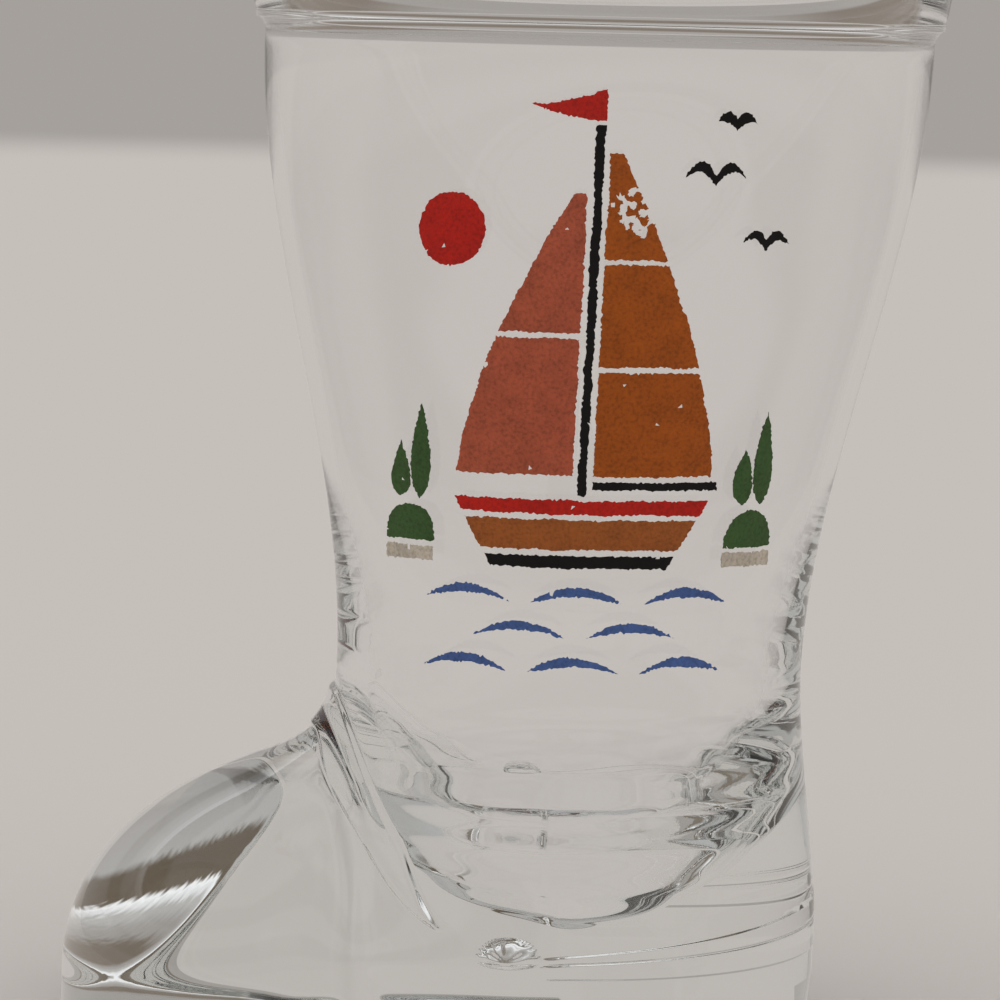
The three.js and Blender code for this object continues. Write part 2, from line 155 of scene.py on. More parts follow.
# Places that follow from the sizes
leg_top_radius = mouth_radius - cuff_flare - cuff_step
cuff_bottom = boot_height - cuff_height
leg_top = cuff_bottom - cuff_round
lip_radius = rim_wall / 2
lip_base = boot_height - lip_radius
toe_tip = -(toe_to_mouth_axis + mouth_radius) / 2
mouth_x = toe_tip + toe_to_mouth_axis
ankle_x = mouth_x - leg_lean
ball_x = toe_tip + toe_length
sole_middle_x = (toe_tip + ankle_x + heel_radius) / 2
heel_front = ankle_x + heel_radius - heel_length
arch_front = heel_front - arch_length


def mix(a, b, t):
    return a + (b - a) * t


def smooth(x, low, high):
    t = np.clip((x - low) / (high - low), 0, 1)
    return t * t * (3 - 2 * t)


# Leg, cuff and cavity


def leg_centre(z):
    return mouth_x - leg_lean * np.clip((cuff_bottom - z) / (cuff_bottom - ankle_height), 0, 1)


def leg_radius(z):
    return mix(ankle_radius, leg_top_radius, smooth(z, ankle_height, leg_top))


def cuff_radius(z):
    return mouth_radius - cuff_flare * (lip_base - z) / (lip_base - cuff_bottom)


def wall(z):
    """Thickness of the leg's wall: thin at the throat, even down the leg, swelling at the ankle."""
    swell = 1 - smooth(z, ankle_height - ankle_swell, ankle_height + ankle_swell)
    thin = smooth(z, leg_top - throat_depth, leg_top + throat_depth)
    return leg_wall + 2 * (ankle_wall - leg_wall) * swell + 2 * (throat_wall - leg_wall) * thin


def cavity_radius(z):
    throat = leg_top_radius - throat_wall
    if z > leg_top:
        return mix(throat, mouth_radius - rim_wall, (z - leg_top) / (boot_height - leg_top))
    if z > ankle_height:
        return leg_radius(z) - wall(z)
    depth = (ankle_height - z) / (ankle_height - cavity_floor)
    return (ankle_radius - ankle_wall) * math.sqrt(1 - depth**bowl_roundness)


def bowl_centre(z):
    return ankle_x - bowl_lean * (ankle_height - z) / (ankle_height - cavity_floor)


# Solid foot: a heel column blended into a foot that reaches to the toe

instep_steps = 400
search_stride = 0.5
search_halvings = 26
strap_halvings = 20


def bezier(points, steps):
    t = np.linspace(0, 1, steps)
    a, b, c, d = points
    return (1 - t) ** 3 * a + 3 * (1 - t) ** 2 * t * b + 3 * (1 - t) * t * t * c + t**3 * d


instep_end = toe_tip + instep_back
instep_x = bezier((toe_tip, toe_tip, instep_end - vamp_slope, instep_end), instep_steps)
instep_ends = (toe_bulge, toe_bulge + toe_rise, instep_height - vamp_rise, instep_height)
instep_z = bezier(instep_ends, instep_steps)


def foot_distance(x, y, z):
    """Distance to the foot's surface, negative inside the glass."""
    bulge = mix(heel_radius, ankle_radius, smooth(z, heel_top, ankle_height))
    taper = heel_taper * np.clip(1 - z / heel_height, 0, 1)
    heel = np.hypot(x - ankle_x, y) - bulge + taper
    forward = np.clip((ball_x - x) / toe_length, 0, 1)
    narrowing = np.maximum(1 - forward**toe_roundness, 0) ** (1 / toe_roundness)
    waist = smooth(x, ball_x, ball_x + waist_reach)
    full = mix(foot_half_width, waist_half_width, waist)
    roundness = mix(foot_roundness, waist_roundness, waist)
    side_roundness = mix(foot_roundness, waist_side_roundness, waist)
    base = mix(toe_bulge, waist_bulge, waist)
    half_width = np.maximum(full * narrowing, 1e-9)
    side = np.hypot(np.maximum(x - ankle_x, 0), y) / half_width
    roof = np.maximum(np.interp(x, instep_x, instep_z) - base, 1e-6)
    up = np.maximum(z - base, 0) / roof
    reach = (side**side_roundness + up**roundness) ** (1 / roundness)
    foot = np.where(x <= toe_tip, toe_tip - x + 1, (reach - 1) * half_width)
    fillet = np.maximum(ankle_fillet * smooth(ankle_x - x, -fillet_end, fillet_end), 1e-6)
    near = np.maximum(fillet - np.abs(heel - foot), 0) / fillet
    return np.minimum(heel, foot) - near * near * fillet / 4


def spine_x(z):
    """Spine inside the glass: over the middle of the sole, then back to the ankle's axis."""
    return mix(sole_middle_x, ankle_x, smooth(z, spine_bend, ankle_height))


def foot_radius(z, angle):
    """Distance from the spine to the surface, `angle` round from the toe."""
    z, angle = np.broadcast_arrays(z, angle)
    start = spine_x(z)
    dx, dy = -np.cos(angle), -np.sin(angle)
    near = np.full(z.shape, search_stride)
    found = np.zeros(z.shape, bool)
    for reach in np.arange(toe_to_mouth_axis + ankle_radius, search_stride, -search_stride):
        inside = foot_distance(start + reach * dx, reach * dy, z) < 0
        near = np.where(inside & ~found, reach, near)
        found |= inside
    far = near + search_stride
    for _ in range(search_halvings):
        middle = (near + far) / 2
        inside = foot_distance(start + middle * dx, middle * dy, z) < 0
        near = np.where(inside, middle, near)
        far = np.where(inside, far, middle)
    return near


def arch_lift(x):
    """Height of the sole over the table: an arch between the ball and the heel."""
    rise = smooth(x, arch_front, arch_front + arch_slope)
    drop = 1 - smooth(x, heel_front - heel_breast, heel_front)
    return arch_rise * rise * drop


def ridge(distance, half_width, edge):
    """Flat-topped ridge of a given half width, falling away over its edge."""
    return 1 - smooth(distance, half_width - edge, half_width + edge)


def strap_edges(turn):
    """Lower edge and width of the strap, which runs out to a point on each side of the foot."""
    along = smooth(turn, strap_bend, strap_sweep)
    taper = np.clip((strap_tip - turn) / (strap_tip - strap_taper_start), 0, 1)
    return mix(strap_front_height, strap_foot_height, along), strap_width * taper


def band_edges(turn):
    """Top of the heel band and the line pressed along it, both climbing towards the back."""
    back = np.clip((turn - button_angle) / (np.pi - button_angle), 0, 1)
    return mix(band_head, band_back_head, back), mix(band_line, band_back_line, back)


def button_place(z, turn):
    """How far out on the button a point is, and its bearing from the button's middle."""
    across = (turn - button_angle) * heel_radius / (button_width / 2)
    up = (z - button_height) / np.where(z > button_height, button_above, button_below)
    return np.hypot(across, up), np.arctan2(up, across)


def spur_rise(z, angle):
    """How far the button, band and strap stand out of the foot."""
    turn = np.abs(angle)
    reach, bearing = button_place(z, turn)
    rim = smooth(reach, button_flute_start, button_flute_end)
    flutes = 1 - button_flute_depth * (1 + np.cos(2 * button_flutes * bearing)) * rim
    dome = button_rise * np.sqrt(np.maximum(1 - reach * reach, 0)) * flutes
    head, line = band_edges(turn)
    band = band_rise * ridge(np.abs(z - (band_foot + head) / 2), (head - band_foot) / 2, band_edge)
    band = band - band_groove * np.exp(-(((z - line) / band_groove_width) ** 2))
    band = band * smooth(turn, band_start - band_start_fade, band_start + band_start_fade)
    foot, width = strap_edges(turn)
    strap = strap_rise * ridge(np.abs(z - foot - width / 2), width / 2, strap_edge)
    strap = strap * np.clip((strap_tip - turn) / strap_fade, 0, 1)
    return np.where(dome > 0, dome, band + strap)


# Glass skin: rings from the sole's middle out, up the outside, over the lip, down the cavity

around = 200
toe_crowding = 0.15
sole_rings = 34
sole_crowding = 0.6
sole_edge_rings = 7
foot_ring_counts = (100, 8, 6, 8, 44)
strap_inset = 0.05
leg_rings = 44
cuff_round_rings = 10
cuff_rings = 12
lip_rings = 18
throat_rings = 12
cavity_rings = 34
bowl_ring_count = 76
even = np.linspace(-math.pi, math.pi, around, endpoint=False)
angles = even - toe_crowding * np.sin(even)


def shares(count):
    return np.arange(1, count + 1) / count


def ring(centre, radius, z):
    radius = radius + 0 * angles
    z = z + 0 * angles
    return np.stack([centre - radius * np.cos(angles), -radius * np.sin(angles), z], 1)


def foot_rings(rises):
    """Rings round the foot at heights above the sole, with the sole's lower edge rounded."""
    turn = angles[None, :]
    lift = arch_lift(sole_middle_x - foot_radius(0.0, turn) * np.cos(turn))
    z = rises + lift * np.clip(1 - rises / strap_foot_height, 0, 1)
    radius = foot_radius(z, turn)
    curl = np.clip(1 - rises / sole_edge, 0, 1)
    edge = sole_edge * (1 - np.sqrt(1 - curl * curl))
    out = radius - edge
    return np.stack([spine_x(z) - out * np.cos(turn), -out * np.sin(turn), z], 2)


def strap_level(share):
    """Height where each line of the skin meets the strap; behind the tips it stays level."""
    low = np.full(around, sole_edge)
    high = np.full(around, ankle_height)
    for _ in range(strap_halvings):
        z = (low + high) / 2
        radius = foot_radius(z, angles)
        forward = ankle_x - spine_x(z) + radius * np.cos(angles)
        turn = np.arctan2(np.abs(radius * np.sin(angles)), forward)
        foot, width = strap_edges(np.minimum(turn, strap_tip))
        above = z > foot + share * width
        high = np.where(above, z, high)
        low = np.where(above, low, z)
    return (low + high) / 2


def foot_heights():
    """Heights of the foot's rings, which follow the strap so that its edges come out clean."""
    bottom, top = strap_level(0), strap_level(1)
    middle = (bottom + top) / 2
    stops = [
        sole_edge + 0 * middle,
        bottom - strap_edge,
        np.minimum(bottom + strap_edge, middle - strap_inset),
        np.maximum(top - strap_edge, middle + strap_inset),
        top + strap_edge,
        ankle_height + 0 * middle,
    ]
    heights = []
    for low, high, count in zip(stops, stops[1:], foot_ring_counts):
        heights.extend(mix(low, high, share) for share in shares(count))
    return heights


def bowl_rings():
    """Rings down the bowl, with the faint waves of glass that set against a cooler plunger."""
    heights = mix(cavity_floor, ankle_height, (1 - shares(bowl_ring_count)[:-1]) ** 2)
    radii = np.array([float(cavity_radius(z)) for z in heights])
    along = np.concatenate([[0], np.cumsum(np.hypot(np.diff(radii), np.diff(heights)))])
    begun = smooth(along, chill_start, 2 * chill_start)
    held = begun * (1 - smooth(along, along[-1] - chill_end, along[-1]))
    wave = chill_depth * held * np.sin(2 * np.pi * along / chill_pitch)
    outward = -np.gradient(heights, along)
    upward = np.gradient(radii, along)
    waved = zip(heights, radii + wave * outward, heights + wave * upward)
    return [ring(bowl_centre(plain), radius, z) for plain, radius, z in waved]


def glass_rings():
    rings = []
    edge_rises = sole_edge * (1 - np.cos(np.linspace(0, math.pi / 2, sole_edge_rings)))
    edge_heights = [rise + 0 * angles for rise in edge_rises]
    side = foot_rings(np.array(edge_heights + foot_heights()[:-1]))
    for share in shares(sole_rings)[:-1] ** sole_crowding:
        flat = side[0] * share + np.array([sole_middle_x, 0, 0]) * (1 - share)
        flat[:, 2] = arch_lift(flat[:, 0])
        rings.append(flat)
    rings.extend(side)
    for z in mix(ankle_height, leg_top, np.concatenate([[0], shares(leg_rings)])):
        rings.append(ring(leg_centre(z), leg_radius(z), z))
    for turn in math.pi / 2 * shares(cuff_round_rings):
        z = leg_top + cuff_round * math.sin(turn)
        rings.append(ring(leg_centre(z), leg_top_radius + cuff_step * (1 - math.cos(turn)), z))
    for z in mix(cuff_bottom, lip_base, shares(cuff_rings)):
        rings.append(ring(mouth_x, cuff_radius(z), z))
    for turn in math.pi * shares(lip_rings):
        radius = mouth_radius - lip_radius * (1 - math.cos(turn))
        rings.append(ring(mouth_x, radius, lip_base + lip_radius * math.sin(turn)))
    for z in mix(lip_base, leg_top, shares(throat_rings)):
        rings.append(ring(leg_centre(z), cavity_radius(z), z))
    for z in mix(leg_top, ankle_height, shares(cavity_rings)):
        rings.append(ring(leg_centre(z), cavity_radius(z), z))
    rings.extend(bowl_rings())
    return np.array(rings)


def closed_skin(name, rings, first, last):
    count = len(rings)
    points = np.concatenate([[first], rings.reshape(-1, 3), [last]])
    index = 1 + np.arange(count * around).reshape(count, around)
    after = np.roll(index, -1, axis=1)
    quads = np.stack([index[:-1], after[:-1], after[1:], index[1:]], 2).reshape(-1, 4)
    faces = quads.tolist()
    faces += [[0, b, a] for a, b in zip(index[0].tolist(), after[0].tolist())]
    top = len(points) - 1
    faces += [[a, b, top] for a, b in zip(index[-1].tolist(), after[-1].tolist())]
    mesh = bpy.data.meshes.new(name)
    mesh.from_pydata((points * MM).tolist(), [], faces)
    return mesh


# Relief of the spur, raised on the finished skin between two heights

spur_low = 4.0
spur_high = ankle_height + 3.0
band_margin = 0.22
band_lead = 0.03
button_margin = 1.4
relief_cuts = 2


def mesh_points(mesh):
    flat = np.zeros(len(mesh.vertices) * 3)
    mesh.vertices.foreach_get("co", flat)
    return flat.reshape(-1, 3)


def outside_of_foot(points):
    """Angle about the ankle, height in millimetres, and which points lie outside on the foot."""
    x, y, z = (points / MM).T
    angle = np.arctan2(-y, ankle_x - x)
    outer = np.hypot(x - ankle_x, y) > ankle_radius - ankle_wall / 2
    return angle, z, outer & (z > spur_low) & (z < spur_high)


def near_band(points):
    """Points close to a line of the heel band, or on a button."""
    angle, z, outside = outside_of_foot(points)
    turn = np.abs(angle)
    head, line = band_edges(turn)
    off_line = np.minimum(np.minimum(np.abs(z - head), np.abs(z - line)), np.abs(z - band_foot))
    banded = (off_line < band_margin) & (turn > band_start - band_lead)
    return outside & (banded | (button_place(z, turn)[0] < button_margin))


def refine(mesh, region):
    """Splits the faces in a region, so that they take fine relief."""
    wanted = region(mesh_points(mesh))
    work = bmesh.new()
    work.from_mesh(mesh)
    edges = [e for e in work.edges if wanted[e.verts[0].index] and wanted[e.verts[1].index]]
    bmesh.ops.subdivide_edges(work, edges=edges, cuts=relief_cuts, use_grid_fill=True)
    work.to_mesh(mesh)
    work.free()


def raise_spur(mesh):
    points = mesh_points(mesh)
    angle, z, outside = outside_of_foot(points)
    rise = np.where(outside, spur_rise(z, angle), 0) * MM
    points[:, 0] -= rise * np.cos(angle)
    points[:, 1] -= rise * np.sin(angle)
    mesh.vertices.foreach_set("co", points.ravel())
    mesh.update()


def shade_smooth(mesh):
    mesh.polygons.foreach_set("use_smooth", np.ones(len(mesh.polygons), bool))


def add_object(name, mesh, material):
    made = bpy.data.objects.new(name, mesh)
    bpy.context.scene.collection.objects.link(made)
    mesh.materials.append(material)
    return made


# Materials; grains are in millimetres

noise_span = (0.3, 0.7)
glass_ior = 1.5
smudge_grain = 9.0
smudge_roughness = 0.03
stipple_grain = 0.5
stipple_depth = 0.0006
glass_tint = (0.80, 0.83, 0.82, 1)
glass_density = 16.0
cloud_grain = 1.6
fleck_grain = 0.22
fleck_mix = 0.45
gloss_grain = 0.8
gloss_range = (0.35, 0.6)
ink_specular = 0.2
ink_relief_grain = 0.3
ink_relief_depth = 0.02
ink_relief_strength = 0.3


def linear(red, green, blue):
    """Linear colour of an sRGB colour in 0 to 255."""
    out = []
    for value in (red, green, blue):
        c = value / 255
        out.append(c / 12.92 if c <= 0.04045 else ((c + 0.055) / 1.055) ** 2.4)
    return (*out, 1.0)


def new_material(name):
    material = bpy.data.materials.new(name)
    material.use_nodes = True
    tree = material.node_tree
    return material, tree, tree.nodes["Principled BSDF"], tree.nodes["Material Output"]


def ramp(tree, source, stops):
    """Colour ramp over a value, with smooth steps between (place, colour) stops."""
    node = tree.nodes.new("ShaderNodeValToRGB")
    node.color_ramp.interpolation = "EASE"
    marks = node.color_ramp.elements
    while len(marks) < len(stops):
        marks.new(0.5)
    for mark, (place, colour) in zip(marks, stops):
        mark.position = place
        mark.color = colour
    tree.links.new(source, node.inputs["Fac"])
    return node.outputs["Color"]


def grey(value, warmth=0.0):
    return (value * (1 + warmth), value, value * (1 - warmth), 1)


def feed(tree, socket, value):
    """Sets an input to a number or a colour, or links it to an output."""
    if isinstance(value, (float, tuple)):
        socket.default_value = value
    else:
        tree.links.new(value, socket)


def mix_colours(tree, factor, first, second):
    node = tree.nodes.new("ShaderNodeMix")
    node.data_type = "RGBA"
    for name, value in (("Factor", factor), ("A", first), ("B", second)):
        feed(tree, node.inputs[name], value)
    return node.outputs["Result"]


def calculate(tree, operation, first, second):
    node = tree.nodes.new("ShaderNodeMath")
    node.operation = operation
    feed(tree, node.inputs[0], first)
    feed(tree, node.inputs[1], second)
    return node.outputs["Value"]


def remap(tree, source, span, onto=(0.0, 1.0), steps="LINEAR"):
    """Maps one span of values onto another."""
    node = tree.nodes.new("ShaderNodeMapRange")
    node.interpolation_type = steps
    for name, value in zip(("From Min", "From Max", "To Min", "To Max"), (*span, *onto)):
        node.inputs[name].default_value = value
    tree.links.new(source, node.inputs["Value"])
    return node.outputs["Result"]


def bent_rays(tree):
    """The light path, and 1 for rays that glass has mirrored or bent."""
    path = tree.nodes.new("ShaderNodeLightPath").outputs
    return path, calculate(tree, "MAXIMUM", path["Is Glossy Ray"], path["Is Transmission Ray"])


def pattern(tree, grain, detail=3.0):
    """Noise whose lumps are about `grain` millimetres wide."""
    place = tree.nodes.new("ShaderNodeTexCoord")
    lumps = tree.nodes.new("ShaderNodeTexNoise")
    lumps.inputs["Scale"].default_value = 1 / (grain * MM)
    lumps.inputs["Detail"].default_value = detail
    tree.links.new(place.outputs["Object"], lumps.inputs["Vector"])
    return lumps.outputs["Fac"]


def shade(colour, factor):
    return (*(min(c * factor, 1.0) for c in colour[:3]), 1.0)


def glass_material():
    """Clear glass with faint smudges, and a fine stipple under the sole."""
    material, tree, shader, output = new_material("pressed_glass")
    shader.inputs["Base Color"].default_value = (1, 1, 1, 1)
    shader.inputs["Transmission Weight"].default_value = 1.0
    shader.inputs["IOR"].default_value = glass_ior
    smudge_stops = [(0.5, grey(0.0)), (0.8, grey(smudge_roughness))]
    smudges = ramp(tree, pattern(tree, smudge_grain), smudge_stops)
    tree.links.new(smudges, shader.inputs["Roughness"])
    place = tree.nodes.new("ShaderNodeTexCoord")
    split = tree.nodes.new("ShaderNodeSeparateXYZ")
    tree.links.new(place.outputs["Object"], split.inputs["Vector"])
    under = remap(tree, split.outputs["Z"], (sole_edge * 2 * MM, sole_edge * MM))
    bumps = remap(tree, pattern(tree, stipple_grain, 1.0), noise_span, (-1.0, 1.0))
    stipple = calculate(tree, "MULTIPLY", bumps, under)
    bump = tree.nodes.new("ShaderNodeBump")
    bump.inputs["Distance"].default_value = stipple_depth * MM
    tree.links.new(stipple, bump.inputs["Height"])
    tree.links.new(bump.outputs["Normal"], shader.inputs["Normal"])
    absorb = tree.nodes.new("ShaderNodeVolumeAbsorption")
    absorb.inputs["Color"].default_value = glass_tint
    absorb.inputs["Density"].default_value = glass_density
    tree.links.new(absorb.outputs["Volume"], output.inputs["Volume"])
    return material


def ink_material(name, colour):
    """Fired enamel: clouded colour with darker and paler grains, and a faintly uneven gloss."""
    material, tree, shader, _ = new_material(name)
    cloud_stops = [(0.3, shade(colour, 0.82)), (0.7, shade(colour, 1.16))]
    clouds = ramp(tree, pattern(tree, cloud_grain), cloud_stops)
    grain_stops = [(0.36, shade(colour, 0.6)), (0.46, colour), (0.64, shade(colour, 1.3))]
    grains = ramp(tree, pattern(tree, fleck_grain), grain_stops)
    tree.links.new(mix_colours(tree, fleck_mix, clouds, grains), shader.inputs["Base Color"])
    shader.inputs["Specular IOR Level"].default_value = ink_specular
    gloss = remap(tree, pattern(tree, gloss_grain), noise_span, gloss_range)
    tree.links.new(gloss, shader.inputs["Roughness"])
    bump = tree.nodes.new("ShaderNodeBump")
    bump.inputs["Strength"].default_value = ink_relief_strength
    bump.inputs["Distance"].default_value = ink_relief_depth * MM
    tree.links.new(pattern(tree, ink_relief_grain), bump.inputs["Height"])
    tree.links.new(bump.outputs["Normal"], shader.inputs["Normal"])
    return material


# The glass body

sole_middle = (sole_middle_x, 0, 0)
floor_middle = (bowl_centre(cavity_floor), 0, cavity_floor)
skin = closed_skin("pressed_glass_body", glass_rings(), sole_middle, floor_middle)
refine(skin, near_band)
raise_spur(skin)
shade_smooth(skin)
body = add_object("pressed_glass_body", skin, glass_material())
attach(body, "root")
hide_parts("glass_boot")

# Colours of the enamel

ink_colours = {
    "ink_pink": linear(145, 69, 46),
    "ink_ochre": linear(136, 65, 8),
    "ink_brown": linear(129, 69, 26),
    "ink_red": linear(155, 20, 8),
    "ink_blue": linear(57, 78, 124),
    "ink_green": linear(48, 73, 34),
    "ink_black": linear(8, 6, 6),
    "ink_stone": linear(163, 153, 139),
}
inks = {slot: ink_material(slot, colour) for slot, colour in ink_colours.items()}
slot_of = {row["node"]: row["material_slot"] for row in frame["record"]["subparts"]}

# Enamel films: each patch of the picture drawn finely on the leg, with a ragged edge and flecks
# worn off. A film is laid out flat, by its distance round the leg from the middle of the printed
# side, and its height.

film_thickness = 0.035
film_seat = 0.02
film_step = 0.13
film_grid = 0.24
film_weld = 0.01
film_rim_gap = 0.7
film_unevenness = (0.8, 1.2)
edge_rag = 0.035
edge_drift = 0.035
edge_limit = 0.12
drift_steps = 8
grid_scatter = 0.3
fleck_share = 0.0012
chip_node = "print_mainsail_3"
chip_size = (2.6, 3.3)
chip_inset = (0.8, 1.1)
chip_noise = 2.2
chip_level = 0.22
chip_core = 0.3


def patch_outline(thing):
    """Edge of the outer face of one of the solids' patches, flattened, in order."""
    work = bmesh.new()
    work.from_mesh(thing.data)
    work.transform(thing.matrix_world)
    bmesh.ops.remove_doubles(work, verts=work.verts, dist=film_weld * MM)
    corners = np.array([v.co for v in work.verts]) / MM
    x, y, z = corners.T
    centre = leg_centre(z)
    reach = np.hypot(x - centre, y) - leg_radius(z)
    flat = np.stack([np.arctan2(x - centre, -y) * leg_radius(z), z], 1)
    middle = (reach.min() + reach.max()) / 2
    work.verts.index_update()
    outer = {f for f in work.faces if all(reach[v.index] > middle for v in f.verts)}
    after = {}
    for face in outer:
        for side in face.loops:
            if side.link_loop_radial_next.face not in outer:
                after[side.vert.index] = side.link_loop_next.vert.index
    work.free()
    loop = [min(after)]
    while after[loop[-1]] != loop[0]:
        loop.append(after[loop[-1]])
    return flat[loop]


def ragged(loop, random):
    """Outline walked in short steps, with a serrated edge that also drifts a little."""
    walked = []
    for a, b in zip(loop, np.roll(loop, -1, axis=0)):
        count = max(1, round(math.dist(a, b) / film_step))
        walked.extend(mix(a, b, i / count) for i in range(count))
    walked = np.array(walked)
    along = np.roll(walked, -1, axis=0) - np.roll(walked, 1, axis=0)
    across = np.stack([along[:, 1], -along[:, 0]], 1)
    across /= np.maximum(np.hypot(*across.T), 1e-9)[:, None]
    count = len(walked)
    drift = np.interp(np.arange(count) / drift_steps, np.arange(count), random.normal(size=count))
    shift = edge_rag * random.normal(size=count) + edge_drift * drift
    return walked + across * np.clip(shift, -edge_limit, edge_limit)[:, None]


def inside_of(points, loop):
    """Which points lie inside a closed loop."""
    within = np.zeros(len(points), bool)
    for a, b in zip(loop, np.roll(loop, -1, axis=0)):
        crosses = (a[1] > points[:, 1]) != (b[1] > points[:, 1])
        rise = b[1] - a[1] if b[1] != a[1] else 1e-9
        within ^= crosses & (points[:, 0] < a[0] + (points[:, 1] - a[1]) * (b[0] - a[0]) / rise)
    return within


def chip_depth(points, loop):
    """How deep inside the chip at the sail's upper leech each point lies; over 0 is inside."""
    size = np.array(chip_size)
    middle = loop.max(0) - np.array(chip_inset) * size
    return 1 - np.hypot(*((points - middle) / size * 2).T)


def square_grid(low, high, pitch):
    columns = (np.arange(a, b, pitch) for a, b in zip(low, high))
    return np.stack(np.meshgrid(*columns), -1).reshape(-1, 2)


def film_layout(thing, random):
    """Points and triangles of a film laid out flat, finer where it is chipped, and its outline."""
    loop = ragged(patch_outline(thing), random)
    low, high = loop.min(0), loop.max(0)
    grid = square_grid(low, high, film_grid)
    if thing.name == chip_node:
        fine = square_grid(low, high, film_grid / 2)
        grid = np.concatenate([grid[chip_depth(grid, loop) <= 0], fine[chip_depth(fine, loop) > 0]])
    grid = grid + random.uniform(-grid_scatter, grid_scatter, grid.shape) * film_grid
    grid = grid[inside_of(grid, loop)]
    gap = np.array([np.hypot(*(loop - p).T).min() for p in grid]) if len(grid) else np.zeros(0)
    grid = grid[gap > film_step * film_rim_gap]
    everything = np.concatenate([loop, grid])
    count = len(loop)
    rim = [(i, (i + 1) % count) for i in range(count)]
    made = geometry.delaunay_2d_cdt([Vector(p) for p in everything], rim, [], 1, 1e-5)
    return np.array([tuple(p) for p in made[0]]), [list(f) for f in made[2]], loop


def worn(thing, points, triangles, loop, random):
    """Triangles left after small flecks, and the chip on one sail, have come away."""
    middles = np.array([points[t].mean(0) for t in triangles])
    gone = random.random(len(triangles)) < fleck_share
    if thing.name == chip_node:
        patchy = np.array([noise.noise(Vector((*(p * chip_noise), 0.0))) for p in middles])
        gone |= np.minimum(chip_depth(middles, loop), chip_core) + patchy > chip_level
    return [t for t, lost in zip(triangles, gone) if not lost]


def without_pinches(triangles):
    """Drops the triangles round any corner where two edges of the film would meet in a point."""
    while True:
        sides = {(t[i], t[(i + 1) % 3]) for t in triangles for i in range(3)}
        open_sides = [a for a, b in sides if (b, a) not in sides]
        pinched = {a for a in open_sides if open_sides.count(a) > 1}
        if not pinched:
            return triangles
        triangles = [t for t in triangles if not pinched & set(t)]


def film_mesh(name, points, triangles, random):
    """Closed film on the leg: the worn layout outside, the same again inside, and walls between."""
    used = sorted({v for t in triangles for v in t})
    place = {v: i for i, v in enumerate(used)}
    triangles = [[place[v] for v in t] for t in triangles]
    u, z = points[used].T
    radius = leg_radius(z)
    turn = u / radius
    lift = film_thickness * random.uniform(*film_unevenness, len(used))
    skins = []
    for out in (radius + lift, radius - film_seat):
        skins.append(np.stack([leg_centre(z) + out * np.sin(turn), -out * np.cos(turn), z], 1))
    count = len(used)
    sides = {(t[i], t[(i + 1) % 3]) for t in triangles for i in range(3)}
    faces = triangles + [[v + count for v in reversed(t)] for t in triangles]
    faces += [[b, a, a + count, b + count] for a, b in sorted(sides) if (b, a) not in sides]
    mesh = bpy.data.meshes.new(name)
    mesh.from_pydata((np.concatenate(skins) * MM).tolist(), [], faces)
    return mesh


for number, (node, thing) in enumerate(sorted(frame["nodes"].items())):
    if not node.startswith("print_"):
        continue
    random = np.random.default_rng(number)
    points, triangles, loop = film_layout(thing, random)
    kept = without_pinches(worn(thing, points, triangles, loop, random))
    name = node.replace("print_", "enamel_")
    film = add_object(name, film_mesh(name, points, kept, random), inks[slot_of[node]])
    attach(film, "root")
    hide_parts(node)

# Studio: a pale floor that fades into the backdrop's colour

floor_colour = linear(197, 191, 186)
wall_colour = linear(165, 160, 156)
floor_end = 1.95
wall_start = 2.55
floor_radius = 4.0
floor_corners = 96
floor_drop = 0.0002


def floor_material():
    """Pale floor that ends in the backdrop's colour; glass shows it plain, without a shadow."""
    material, tree, shader, output = new_material("studio_floor")
    shader.inputs["Roughness"].default_value = 0.9
    shader.inputs["Specular IOR Level"].default_value = 0.0
    place = tree.nodes.new("ShaderNodeNewGeometry")
    length = tree.nodes.new("ShaderNodeVectorMath")
    length.operation = "LENGTH"
    tree.links.new(place.outputs["Position"], length.inputs[0])
    fade = remap(tree, length.outputs["Value"], (floor_end, wall_start), steps="SMOOTHSTEP")
    colour = mix_colours(tree, fade, floor_colour, wall_colour)
    tree.links.new(colour, shader.inputs["Base Color"])
    plain = tree.nodes.new("ShaderNodeEmission")
    tree.links.new(colour, plain.inputs["Color"])
    _, bent = bent_rays(tree)
    blend = tree.nodes.new("ShaderNodeMixShader")
    tree.links.new(calculate(tree, "MAXIMUM", bent, fade), blend.inputs["Fac"])
    tree.links.new(shader.outputs["BSDF"], blend.inputs[1])
    tree.links.new(plain.outputs["Emission"], blend.inputs[2])
    tree.links.new(blend.outputs["Shader"], output.inputs["Surface"])
    return material


floor_mesh = bpy.data.meshes.new("studio_floor")
floor_turns = np.linspace(0, 2 * math.pi, floor_corners, endpoint=False)
floor_edges = []
for turn in floor_turns:
    floor_edges.append((floor_radius * math.cos(turn), floor_radius * math.sin(turn), -floor_drop))
floor_mesh.from_pydata(floor_edges, [], [list(range(floor_corners))])
floor = add_object("studio_floor", floor_mesh, floor_material())

# Plain light on the object, and the room that the glass shows from the horizon (0) to overhead (1)

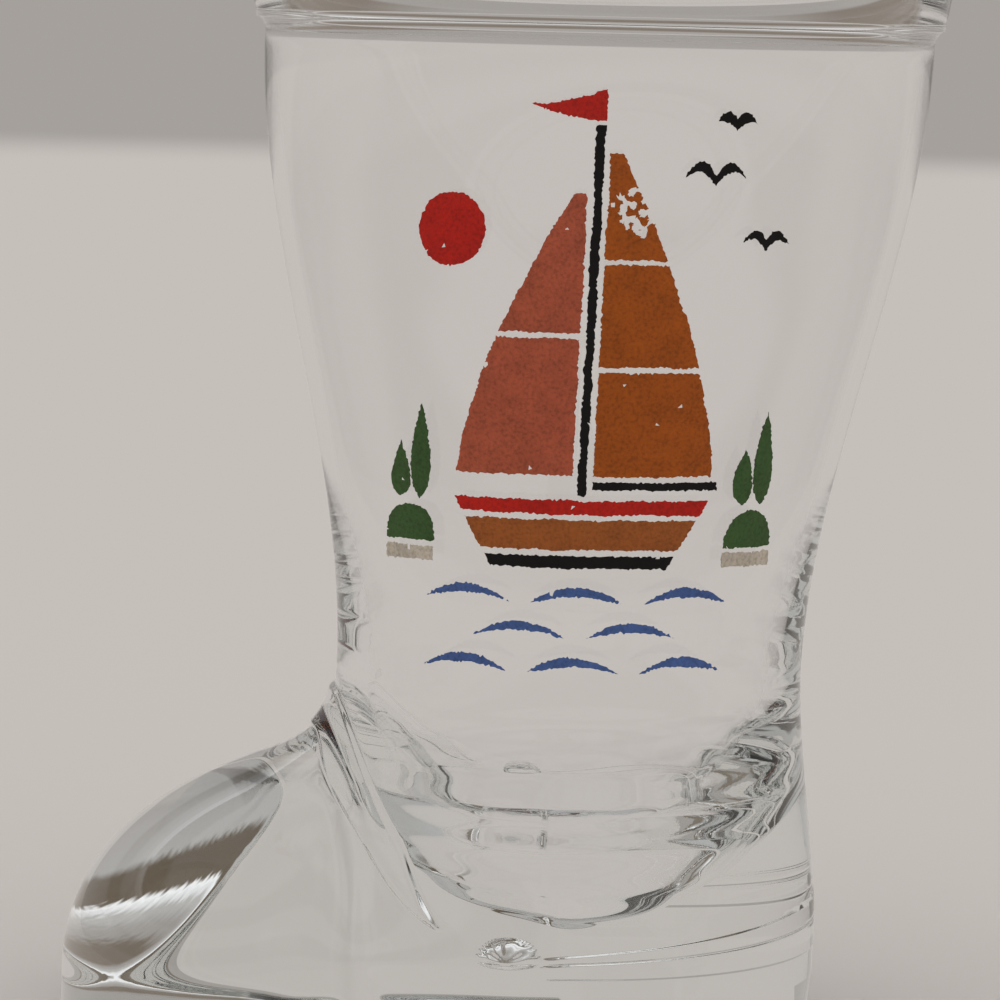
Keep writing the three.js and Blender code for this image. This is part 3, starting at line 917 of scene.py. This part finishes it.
front_light = grey(1.30)
back_light = grey(0.555)
back_begins = 0.35
back_stops = [
    (0.0, wall_colour),
    (0.22, wall_colour),
    (0.27, grey(0.17, 0.2)),
    (0.34, grey(0.17, 0.2)),
    (0.40, wall_colour),
    (0.47, grey(0.5, 0.03)),
    (0.505, grey(0.85)),
    (0.525, grey(1.0)),
    (0.55, grey(0.11, 0.28)),
    (0.67, grey(0.10, 0.28)),
    (0.72, grey(0.44, 0.03)),
    (0.88, grey(0.42, 0.03)),
    (1.0, grey(0.34, 0.03)),
]
front_stops = [
    (0.0, wall_colour),
    (0.09, grey(0.38, 0.02)),
    (0.14, grey(0.04, 0.14)),
    (0.26, grey(0.04, 0.14)),
    (0.31, grey(0.44, 0.02)),
    (0.45, grey(0.44, 0.02)),
    (0.50, grey(0.04, 0.14)),
    (0.64, grey(0.04, 0.14)),
    (0.70, grey(0.50, 0.02)),
    (1.0, grey(0.36)),
]


def studio_world():
    """Soft light on the object, stronger in front; glass shows a room of pale and dark bands."""
    world = bpy.data.worlds.new("studio")
    bpy.context.scene.world = world
    world.use_nodes = True
    tree = world.node_tree
    place = tree.nodes.new("ShaderNodeTexCoord")
    split = tree.nodes.new("ShaderNodeSeparateXYZ")
    tree.links.new(place.outputs["Generated"], split.inputs["Vector"])
    up, depth = split.outputs["Z"], split.outputs["Y"]
    behind = ramp(tree, depth, [(0.0, (0, 0, 0, 1)), (back_begins, (1, 1, 1, 1))])
    back_room = ramp(tree, up, back_stops)
    front_room = ramp(tree, up, front_stops)
    room = mix_colours(tree, behind, front_room, back_room)
    light = mix_colours(tree, behind, front_light, back_light)
    path, bent = bent_rays(tree)
    direct = calculate(tree, "LESS_THAN", path["Diffuse Depth"], 0.5)
    shown = mix_colours(tree, calculate(tree, "MULTIPLY", bent, direct), light, room)
    seen = mix_colours(tree, path["Is Camera Ray"], shown, wall_colour)
    tree.links.new(seen, tree.nodes["Background"].inputs["Color"])


studio_world()

# Camera at the photograph's viewpoint; the focal length is in pixels of its width

view_pitch = math.radians(5.4)
view_roll = math.radians(1.4)
view_side = 5.79
view_distance = 0.33
view_height = 0.0661
sensor_width = 36
picture_width = 1000
focal_length = 5038
camera_data = bpy.data.cameras.new("camera")
camera_data.sensor_width = sensor_width
camera_data.lens = sensor_width * focal_length / picture_width
camera_data.clip_start = 0.01
camera_data.clip_end = 20
camera = bpy.data.objects.new("camera", camera_data)
bpy.context.scene.collection.objects.link(camera)
camera.location = ((mouth_x - view_side) * MM, -view_distance, view_height)
tilt = Euler((math.pi / 2 - view_pitch, 0, 0)).to_matrix() @ Matrix.Rotation(view_roll, 3, "Z")
camera.rotation_euler = tilt.to_euler()
bpy.context.scene.camera = camera

bpy.context.scene.view_settings.view_transform = "Standard"

# Light needs many turns to leave thick glass
light_bounces = 24
bpy.context.scene.cycles.max_bounces = light_bounces
bpy.context.scene.cycles.transmission_bounces = light_bounces
bpy.context.scene.cycles.glossy_bounces = light_bounces
